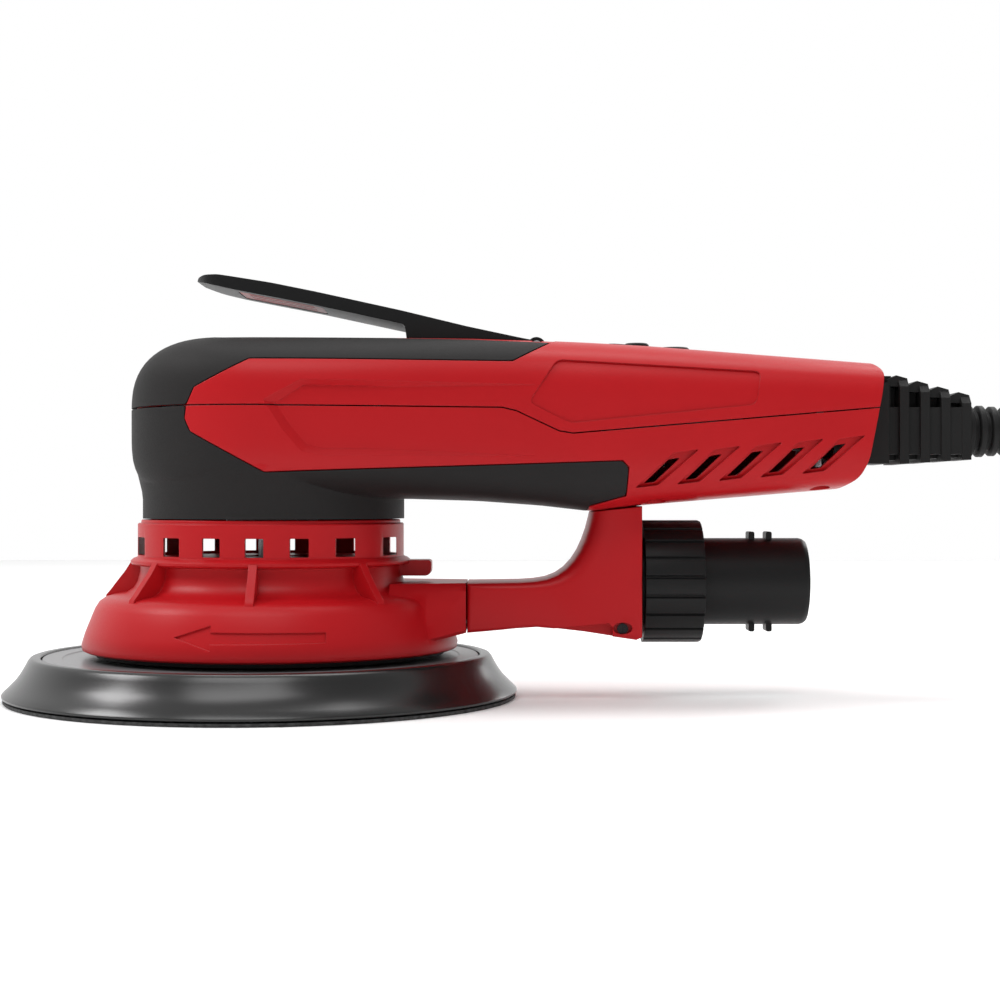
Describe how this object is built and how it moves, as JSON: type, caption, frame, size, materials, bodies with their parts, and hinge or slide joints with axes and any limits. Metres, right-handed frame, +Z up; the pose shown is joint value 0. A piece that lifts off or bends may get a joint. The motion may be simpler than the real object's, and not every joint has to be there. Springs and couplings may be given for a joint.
{
  "type": "orbital sander",
  "caption": "Mains random orbital sander: round pad under a brushless motor, vented dust shroud with hose port, handle with paddle lever, and a coiled lead.",
  "frame": {"origin": "on the motor axis, in the plane of the pad's working face", "axes": "+Z up along the motor axis, +X along the handle towards the lead, +Y to the left of the handle"},
  "size_m": [0.5035, 0.1937, 0.1233],
  "materials": {
    "red_abs": "satin moulded ABS",
    "black_elastomer": "matt soft overmould",
    "black_nylon": "satin moulded nylon",
    "pad_foam": "smooth satin polyurethane skin",
    "hook_fabric": "moulded hooks",
    "grey_nylon": "glass filled nylon",
    "steel": "ground steel",
    "lamination_steel": "stacked electrical steel",
    "cast_aluminium": "die cast",
    "copper_wire": "enamelled copper wire",
    "circuit_board": "solder mask",
    "indicator": "clear moulded lens",
    "pin_brass": "nickel free brass"
  },
  "bodies": {
    "housing": {"upper_shell": "red_abs", "lower_shell": "red_abs", "upper_grip": "black_elastomer", "lower_grip": "black_elastomer", "control_panel": "black_nylon", "status_light": "indicator", "control_board": "circuit_board", "heat_sink": "cast_aluminium", "capacitor": "black_nylon", "terminal_block": "circuit_board", "inner_lead": "black_elastomer", "cable_clamp": "black_nylon", "lever_pin": "steel", "lever_spring": "steel", "lever_sensor": "black_nylon", "motor_can": "cast_aluminium", "motor_top_plate": "cast_aluminium", "stator_core": "lamination_steel", "lower_winding": "copper_wire", "upper_winding": "copper_wire", "bearing_plate": "cast_aluminium", "top_bearing": "steel", "bottom_bearing": "steel", "shroud": "red_abs", "brake_seal": "black_elastomer", "dust_duct": "red_abs", "duct_screw": "steel", "housing_screw_1": "steel", "housing_screw_2": "steel", "housing_screw_3": "steel", "housing_screw_4": "steel", "strain_relief_boot": "black_elastomer", "cable_sleeve": "black_elastomer", "mains_cord": "black_elastomer", "cord_coil": "black_elastomer", "cord_tie": "black_nylon", "plug_lead": "black_elastomer", "plug_body": "black_elastomer", "plug_pin_left": "pin_brass", "plug_pin_right": "pin_brass"},
    "lever": {"lever": "black_nylon", "lever_insert": "red_abs"},
    "rotor": {"rotor_core": "lamination_steel", "motor_shaft": "steel", "cooling_fan": "black_nylon", "eccentric_hub": "cast_aluminium", "counterweight": "steel", "dust_fan": "black_nylon", "pad_bearing": "steel"},
    "pad": {"spindle": "steel", "pad_stud": "steel", "backing_plate": "grey_nylon", "foam_pad": "pad_foam", "hook_face": "hook_fabric"},
    "collar": {"port_collar": "black_nylon"},
    "port": {"port_tube": "black_nylon"},
    "power_key": {"power_button": "black_elastomer"},
    "speed_up_key": {"speed_up_button": "black_elastomer"},
    "speed_down_key": {"speed_down_button": "black_elastomer"}
  },
  "joints": [
    {"name": "lever_press", "type": "hinge", "parent": "housing", "child": "lever", "pos_m": [0.078, 0, 0.1023], "axis": [0, -1, 0], "range_deg": [0, 4], "stiffness_Nm_per_rad": 0.3, "springref_deg": -11.46},
    {"name": "motor_spin", "type": "hinge", "parent": "housing", "child": "rotor", "pos_m": [0, 0, 0.06], "axis": [0, 0, 1], "continuous": true},
    {"name": "pad_spin", "type": "hinge", "parent": "rotor", "child": "pad", "pos_m": [-0.0025, 0, 0.01], "axis": [0, 0, 1], "continuous": true},
    {"name": "collar_turn", "type": "hinge", "parent": "housing", "child": "collar", "pos_m": [0.118, 0, 0.034], "axis": [1, 0, 0], "range_deg": [0, 60]},
    {"name": "port_swivel", "type": "hinge", "parent": "housing", "child": "port", "pos_m": [0.13, 0, 0.034], "axis": [1, 0, 0], "continuous": true},
    {"name": "power_press", "type": "slide", "parent": "housing", "child": "power_key", "axis": [0, 0, -1], "range_m": [0, 0.0008], "stiffness_N_per_m": 300, "springref_m": -0.002},
    {"name": "speed_up_press", "type": "slide", "parent": "housing", "child": "speed_up_key", "axis": [0, 0, -1], "range_m": [0, 0.0008], "stiffness_N_per_m": 300, "springref_m": -0.002},
    {"name": "speed_down_press", "type": "slide", "parent": "housing", "child": "speed_down_key", "axis": [0, 0, -1], "range_m": [0, 0.0008], "stiffness_N_per_m": 300, "springref_m": -0.002}
  ]
}
